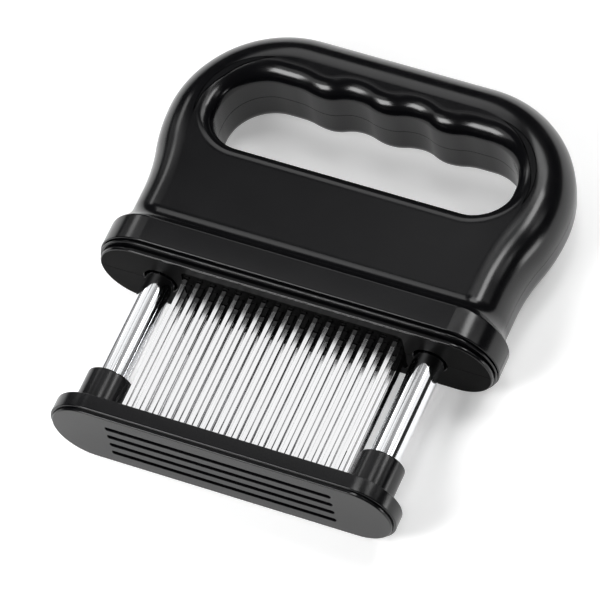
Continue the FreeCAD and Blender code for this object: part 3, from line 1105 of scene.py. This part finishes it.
    def skirt_rows(self, point: Vector, out: Vector, shift: float, inset: float) -> list[Vector]:
        """The points below the waist on one line of the section: body, flare, crease and band.

        Args:
            point: The section's point.
            out: The direction out of it.
            shift: How far in the line moves.
            inset: 0 outside, the wall's thickness inside.

        Returns:
            The points from the waist down.
        """
        reach, band_out = self.to_band(point, out)
        reach -= inset
        radius, low_round = self.flare_radius, self.band_round

        def flare(grown: float) -> Vector:
            """A point of the flare.

            Args:
                grown: How far out the flare has come there.

            Returns:
                The point.
            """
            drop = math.sqrt(max(radius ** 2 - (radius - grown) ** 2, 0.0))
            x, z = point + out * grown
            return Vector((x, self.flare_top - drop, z))

        x, z = point
        rows = [Vector((x, y, z)) for y in self.waist_rows]
        last_angle = math.acos((radius - reach + self.crease_reach) / radius)
        for k in range(self.flare_steps + 1):
            rows.append(flare(radius * (1 - math.cos(last_angle * k / self.flare_steps))))
        corner = flare(reach)
        wall_x, wall_z = point + out * (reach + inset) - band_out * inset
        rows += bend(rows[-1], corner, Vector((wall_x, corner.y - self.crease, wall_z)))[1:]
        rows += [Vector((wall_x, self.band_low + y, wall_z)) for y in (self.band_row, low_round)]
        edge = Vector((wall_x, self.band_low, wall_z))
        if inset:
            rows.append(edge)
        else:
            away = Vector((band_out.x, 0.0, band_out.y))
            rows += [edge - away * inward + Vector((0, up, 0))
                     for up, inward in quarter(low_round)[1:]]
            rows.append(edge - away * self.wall)
        for row in rows:
            row.x -= math.copysign(shift, point.x)
        return rows

    def base_half(self, bm: Form) -> None:
        """Adds the stepped base with its window and post holes, cut on the parting plane.

        Args:
            bm: The shell's mesh.
        """
        base = bmesh.new()
        low, inset = self.lip[2], self.step_inset
        levels: list[Triple] = []
        for step, top in ((self.lip, self.ledge[2]), (self.ledge, self.floor_high)):
            levels += round_over(step)
            levels += [(step[0] - inset, step[1] - inset, y) for y in (step[3], top)]
        RoundEndedStack(levels, end_steps=64).build(base)
        hole_wall(base, window_ring(*self.window), (0.0, 0.0), low, self.floor_high,
                  self.window_chamfer)
        for side in Side:
            hole_wall(base, circle_ring(self.post_hole), (side.post_x, 0.0), low,
                      self.floor_high, self.post_chamfer)
        merge(base)
        for level in (low, self.floor_high):
            fill_level(base, 1, level)
        cut = bmesh.ops.bisect_plane(base, geom=whole(base), dist=ON_CUT,
                                     plane_co=(0, 0, self.base_seam), plane_no=(0, 0, 1),
                                     clear_inner=True)
        rim = [e for e in cut["geom_cut"] if isinstance(e, bmesh.types.BMEdge)]
        bmesh.ops.triangle_fill(base, use_beauty=True, use_dissolve=True, normal=(0, 0, 1),
                                edges=rim)
        add_form(bm, base)

    def build_half(self, bm: Form) -> None:
        """Adds one half's shell without its base.

        Args:
            bm: The mesh that gets the shell.
        """
        for inset in (0.0, self.wall):
            self.rolls(bm, inset)
            patch(bm, [self.skirt_rows(*line, inset) for line in self.body_section(inset)])
        merge(bm)
        for inset in (0.0, self.wall):
            fill_level(bm, 2, self.half_thickness - inset)
        bmesh.ops.holes_fill(bm, edges=open_edges(bm))

    def settle_half(self, bm: Form, name: str) -> None:
        """Settles a finished half; its faces that look down below the lip get a darker, barely
        reflective copy of the plastic as painted shade.
        """
        piece = settle(bm, "handle_" + name, Part.HANDLE, Body.HANDLE, f"handle_{name}_shell")
        PAINTED_SHADE_UNDERSIDE.dress_below(piece, self.lip[2])

    def build(self) -> None:
        """Builds the front half."""
        front = bmesh.new()
        self.build_half(front)
        self.base_half(front)
        self.settle_half(front, "front")


@dataclass
class ShellScrews:
    """The self-tapping screws that close the handle from the rear, with cross recesses."""

    spots: tuple[Pair, ...] = ((24.0, 76.0), (45.0, 119.0))
    sunk: float = 6.0              # from the rear face down to the seat of a head
    counterbore: float = 3.1
    hole: float = 1.6
    boss_wall: float = 1.4         # under the seat
    cup: float = 4.2
    cup_high: float = 9.75
    stem: float = 3.6
    head_radius: float = 2.8
    head_height: float = 2.0
    # the head's dome: share of its radius and depth under its top
    dome: tuple[Pair, ...] = ((0.0, 0.0), (0.45, 0.06), (0.78, 0.3), (0.94, 0.7), (1.0, 1.2))
    edge: float = 0.1
    shank_radius: float = 1.45
    taper: float = 1.6
    tip_radius: float = 0.4
    reach: float = 6.0             # past the parting plane
    seat: float = -6.0
    recess_width: float = 0.85
    recess_length: float = 3.2
    recess_depth: float = 1.1
    recess_narrows: float = 0.6    # the recess's floor, as a share of its mouth

    def places(self) -> list[Pair]:
        """X and Y of the four screws."""
        return [(side.value * x, y) for x, y in self.spots for side in Side]

    def one(self, at: Pair) -> Form:
        """A screw with a low domed head, a tapered tip and a cross recess.

        Args:
            at: X and Y of its line.

        Returns:
            The screw.
        """
        top = self.seat - self.head_height
        radius, shank = self.head_radius, self.shank_radius
        outline = [(radius * share, top + depth) for share, depth in self.dome]
        outline += [(radius, self.seat - self.edge), (radius - self.edge, self.seat),
                    (shank, self.seat), (shank, self.reach - self.taper),
                    (self.tip_radius, self.reach - self.edge), (0.0, self.reach)]
        screw = bmesh.new()
        turn_across(screw, outline, at, 40)
        for size in ((self.recess_length, self.recess_width),
                     (self.recess_width, self.recess_length)):
            arm = bmesh.new()
            verts = bmesh.ops.create_cube(arm, size=1.0)["verts"]
            bmesh.ops.scale(arm, verts=verts, vec=(*size, 2 * self.recess_depth))
            narrow = self.recess_narrows
            bmesh.ops.scale(arm, verts=[vert for vert in verts if vert.co.z > 0],
                            vec=(narrow, narrow, 1.0))
            bmesh.ops.translate(arm, verts=verts, vec=(*at, top))
            screw = joined(screw, arm, Join.CUT)
        return screw

    def build(self) -> None:
        """Builds the four screws."""
        made = bmesh.new()
        for at in self.places():
            add_form(made, self.one(at))
        settle(made, "shell_screws", Part.SCREW, Body.HANDLE, "handle_screws")


@dataclass
class RearShell(HandleShell):
    """The rear half, with tighter rolls than the front."""

    outer_widths: tuple[Pair, ...] = ((73, 8.5), (101.7, 8.9), (125.4, 9.1), (135.2, 9.8))
    outer_heights: tuple[Pair, ...] = ((73, 8.5), (101.7, 9.0), (135.2, 10.2))
    screws: ShellScrews = field(default_factory=ShellScrews)

    def bored(self, bm: Form) -> Form:
        """Adds the bosses with their counterbores and holes.

        Args:
            bm: The shell. It is freed.

        Returns:
            The shell with its bosses.
        """
        screws = self.screws
        seat = self.half_thickness - screws.sunk
        under, past = seat - screws.boss_wall, self.half_thickness + OVERCUT
        bosses, holes = bmesh.new(), bmesh.new()
        for at in screws.places():
            turn_across(bosses, [(0.0, 0.0), (screws.stem, 0.0), (screws.stem, under),
                                 (screws.cup, under), (screws.cup, screws.cup_high),
                                 (0.0, screws.cup_high)], at)
            turn_across(holes, [(0.0, -OVERCUT), (screws.hole, -OVERCUT), (screws.hole, seat),
                                (screws.counterbore, seat), (screws.counterbore, past),
                                (0.0, past)], at, 48)
        return joined(joined(bm, bosses, Join.UNITE), holes, Join.CUT)

    def build(self) -> None:
        """Builds the rear half."""
        rear = bmesh.new()
        self.build_half(rear)
        rear = self.bored(rear)
        self.base_half(rear)
        bmesh.ops.scale(rear, verts=rear.verts, vec=(1, 1, -1))
        self.settle_half(rear, "rear")


# ---------------------------------------------------------------- blades

@dataclass
class BladeBlock:
    """Four rows of flat blades with slanted, ground points."""

    count: int = 17
    pitch: float = 3.87
    width: float = 1.3
    thickness: float = 0.7
    tip: float = 1.2
    slant: float = 2.2
    grind: float = 1.6             # height of the ground faces above the edge
    point_share: float = 0.2       # of the thickness, left at the edge
    edge_break: float = 0.07
    shank_top: float = 57.6

    def row(self, z: float) -> Form:
        """One row, made from copies of one blade.

        Args:
            z: Where the row stands.

        Returns:
            The row.
        """
        bm = bmesh.new()
        made = bmesh.ops.create_cube(bm, size=1.0)["verts"]
        height = self.shank_top - self.tip
        bmesh.ops.scale(bm, verts=made, vec=(self.width, height, self.thickness))
        bmesh.ops.translate(bm, verts=made, vec=(0, self.tip + height / 2, 0))
        for vert in bm.verts:
            if vert.co.y < height / 2 and vert.co.x > 0:
                vert.co.y += self.slant
        slope = Vector((-self.slant, self.width, 0)).normalized()
        edge_point = Vector((-self.width / 2, self.tip, 0))
        bmesh.ops.bisect_plane(bm, geom=whole(bm), dist=ON_CUT,
                               plane_co=edge_point + slope * self.grind, plane_no=slope)
        for vert in bm.verts:
            if (vert.co - edge_point).dot(slope) < self.grind / 2:
                vert.co.z *= self.point_share
        uprights = [e for e in bm.edges if abs(e.verts[0].co.y - e.verts[1].co.y) > height / 2]
        bmesh.ops.bevel(bm, geom=uprights, offset=self.edge_break, offset_type="OFFSET",
                        segments=1, profile=0.5, affect="EDGES", material=-1)
        first = whole(bm)
        for i in range(self.count - 1, -1, -1):
            blade = bmesh.ops.duplicate(bm, geom=first)["geom"] if i else first
            verts = [g for g in blade if isinstance(g, bmesh.types.BMVert)]
            x = (i - (self.count - 1) / 2) * self.pitch
            bmesh.ops.translate(bm, verts=verts, vec=(x, 0, z))
        return bm

    def build(self) -> None:
        """Builds the rows."""
        for number, z in enumerate(ROWS, start=1):
            settle(self.row(z), f"blades_{number}", Part.BLADE, Body.HANDLE,
                   f"blade_row_{number}", 3.0)


# ---------------------------------------------------------------- springs, and nodes that stay

@dataclass
class ReturnSprings:
    """The two springs in the posts, built at their rest length."""

    coil_radius: float = 2.9
    wire_radius: float = 0.45
    wire_facets: int = 10
    turns: int = 10
    steps: int = 28                # facets in a turn
    low: float = 13.3
    high: float = 82.7
    seat: float = 82.8             # the end that stays, on the rod's seat
    stroke: float = 25.0

    def build(self) -> None:
        """Builds both springs."""
        rise = self.high - self.low - 2 * self.wire_radius
        count = self.turns * self.steps
        for side in Side:
            x = side.post_x
            bm = bmesh.new()
            wire = bmesh.ops.create_circle(bm, segments=self.wire_facets,
                                           radius=self.wire_radius)["verts"]
            bmesh.ops.translate(bm, verts=wire, vec=(x + self.coil_radius,
                                                     self.low + self.wire_radius, 0))
            bmesh.ops.spin(bm, geom=whole(bm), cent=(x, 0, 0), axis=(0, 1, 0),
                           dvec=(0, rise / count, 0), angle=FULL_TURN * self.turns, steps=count)
            bmesh.ops.holes_fill(bm, edges=open_edges(bm))
            spring = settle(bm, "spring_" + side.label, Part.SPRING, Body.HANDLE,
                            "return_spring_" + side.label, 50.0)
            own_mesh(spring)


@dataclass
class CarriedNodes:
    """The nodes whose shape stays, with the finish of each."""

    finishes: dict[str, Part] = field(default_factory=lambda: {
        "clamp_screws": Part.SCREW, "post_screws": Part.SCREW,
        "blade_comb_plate": Part.BLOCK, "blade_clamp_plate": Part.BLOCK,
        "guide_bush_left": Part.BUSH, "guide_bush_right": Part.BUSH,
        "spring_rod_left": Part.FITTING, "spring_rod_right": Part.FITTING,
        "post_plug_left": Part.FITTING, "post_plug_right": Part.FITTING,
    })

    def build(self, nodes: Mapping[str, Piece]) -> None:
        """Dresses the nodes that still show.

        Args:
            nodes: The frame's nodes by name.
        """
        for name, part in self.finishes.items():
            if not nodes[name].hide_render:
                part.finish.dress(nodes[name])
                log.info("%s: dressed", name)


# ---------------------------------------------------------------- studio

@dataclass
class Softbox:
    """A softbox, set out in the tool's own frame.

    Without a point to face, one at the cards' height faces straight down and a lower one faces the
    tool's middle line.
    """

    name: str
    at: Triple
    across: float
    along: float
    radiance: float
    towards: Triple | None = None
    cards_high: float = 400.0

    def hang(self) -> None:
        """Hangs the softbox facing its point, its long side square to the tool's length."""
        data = bpy.data.lights.new(self.name, "AREA")
        data.shape, data.size, data.size_y = "RECTANGLE", self.across * MM, self.along * MM
        data.energy = self.radiance * math.pi * self.across * self.along * MM * MM
        lamp = bpy.data.objects.new(self.name, data)
        lamp.visible_camera = False
        below = self.at[0] if self.at[2] == self.cards_high else 0.0
        back = (Vector(self.at) - Vector(self.towards or (below, self.at[1], 0))).normalized()
        side = Vector((0, 1, 0)).cross(back).normalized()
        up = back.cross(side)
        spot = (Vector(self.at) + Vector((0, -TOP / 2, BACK))) * MM
        lamp.matrix_world = Matrix.Translation(spot) \
            @ Matrix((side, up, back)).transposed().to_4x4()
        bpy.context.scene.collection.objects.link(lamp)


@dataclass
class Studio:
    """The table, the softboxes, the surroundings and the camera."""

    room_light: float = 0.03
    table_half: float = 3.0
    softboxes: tuple[Softbox, ...] = (
        # cards along the tool, which the blades and the posts mirror
        Softbox("blade_card", (-145, 224.5, 400), 120, 51, 1.15),
        Softbox("post_card_low", (-420, 234, 153), 180, 66, 0.5),
        Softbox("post_card_left", (-311, 237, 322), 240, 58, 1.15),
        Softbox("post_card_near", (-45, 226, 400), 76, 46, 0.78),
        Softbox("post_card_middle", (58, 228, 400), 130, 48, 0.36),
        Softbox("post_card_far", (166, 240, 400), 86, 48, 0.66),
        Softbox("post_card_right", (345, 250, 305), 260, 64, 1.1),
        # low cards for the collars and the foot
        Softbox("collar_card_left", (-262, 214, 400), 40, 16, 4.0),
        Softbox("collar_card_near", (-20, 196, 400), 40, 14, 4.0),
        Softbox("collar_card_far", (377, 210, 245), 60, 20, 3.0),
        Softbox("foot_card", (-145, 188, 400), 130, 12, 0.5),
        # cards for the base, the panel and the flare
        Softbox("band_card", (-145, 264, 400), 110, 14, 0.4),
        Softbox("band_card_left", (-311, 273, 322), 240, 14, 1.0),
        Softbox("band_card_edge", (-15, 266, 400), 50, 14, 1.8),
        Softbox("band_card_right", (90, 266, 400), 160, 14, 4.2),
        Softbox("panel_card_left", (-178, 300, 400), 60, 50, 0.38),
        Softbox("panel_card_middle", (-134, 300, 400), 28, 50, 0.5),
        Softbox("panel_card_near", (-110, 300, 400), 20, 50, 0.75),
        Softbox("panel_card_far", (-88, 300, 400), 24, 50, 1.05),
        # the grip, the pillars and the crown
        Softbox("grip_box", (-152, -235, 301), 200, 180, 12.2, (0, 118, 11)),
        Softbox("grip_halo", (-222, -180, 340), 270, 330, 1.3, (0, 118, 11)),
        Softbox("pillar_line", (250, 318, 400), 124, 180, 9.5),
        Softbox("pillar_glow", (132, 360, 400), 145, 120, 3.0),
        Softbox("shoulder_box", (140, 520, 400), 230, 190, 4.0),
        Softbox("low_strip", (335, 115, 15), 60, 70, 6.0, (55, 85, 8)),
        Softbox("left_strip", (-434, 300, 261), 90, 90, 3.0, (-50, 83, 11)),
        Softbox("crown_box", (-192, 550, 384), 250, 230, 1.8, (0, 124, 12)),
        Softbox("overhead_box", (30, 300, 970), 220, 220, 11.0, (0, 67, 0)),
    )

    target: Triple = (-0.001068, -0.010422, 0.01483)
    distance: float = 1.51277
    azimuth: float = 0.60838
    elevation: float = 0.99704
    roll: float = -0.24314
    lens: float = 335.33

    def camera(self) -> None:
        """Sets up the camera."""
        data = bpy.data.cameras.new("camera")
        data.lens, data.sensor_width = self.lens, 36.0
        data.clip_start, data.clip_end = 0.05, 20.0
        camera = bpy.data.objects.new("camera", data)
        az, el = self.azimuth, self.elevation
        back = Vector((math.sin(az) * math.cos(el), -math.cos(az) * math.cos(el), math.sin(el)))
        right = Vector((0, 0, 1)).cross(back).normalized()
        up = back.cross(right)
        c, s = math.cos(self.roll), math.sin(self.roll)
        rotation = Matrix((right * c + up * s, up * c - right * s, back)).transposed()
        camera.matrix_world = Matrix.Translation(Vector(self.target) + back * self.distance) \
            @ rotation.to_4x4()
        bpy.context.scene.collection.objects.link(camera)
        bpy.context.scene.camera = camera

    def table(self) -> None:
        """Lays the table under the tool."""
        bm = bmesh.new()
        bmesh.ops.create_grid(bm, x_segments=1, y_segments=1, size=self.table_half)
        table = stand(bm, "table")
        PaleTable().dress(table)

    def surroundings(self) -> None:
        """Gives the room its dim, even light."""
        world = bpy.data.worlds.new("studio")
        world.use_nodes = True
        world.node_tree.nodes.clear()
        light = add_node(world.node_tree, "Background",
                         {"Color": linear("FFFFFF"), "Strength": self.room_light})
        add_node(world.node_tree, "OutputWorld", links={"Surface": light})
        bpy.context.scene.world = world

    def build(self) -> None:
        """Builds the studio."""
        bpy.context.scene.view_settings.view_transform = "Standard"
        self.camera()
        self.table()
        self.surroundings()
        for softbox in self.softboxes:
            softbox.hang()
        log.info("studio ready")


def corners(bounds: Iterable[Vector]) -> list[list[float]]:
    """The two corners of a box as plain numbers."""
    return [list(corner) for corner in bounds]


def main() -> None:
    """Builds every sub-assembly in order, then the studio."""
    logging.basicConfig(level=logging.INFO, format="%(name)s: %(message)s")
    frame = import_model()
    HandleShell().build()
    RearShell().build()
    ShellScrews().build()
    BladeBlock().build()
    Guard().build()
    ReturnSprings().build()
    CarriedNodes().build(frame["nodes"])
    Studio().build()
    log.info("boxes written")


if __name__ == "__main__":
    main()
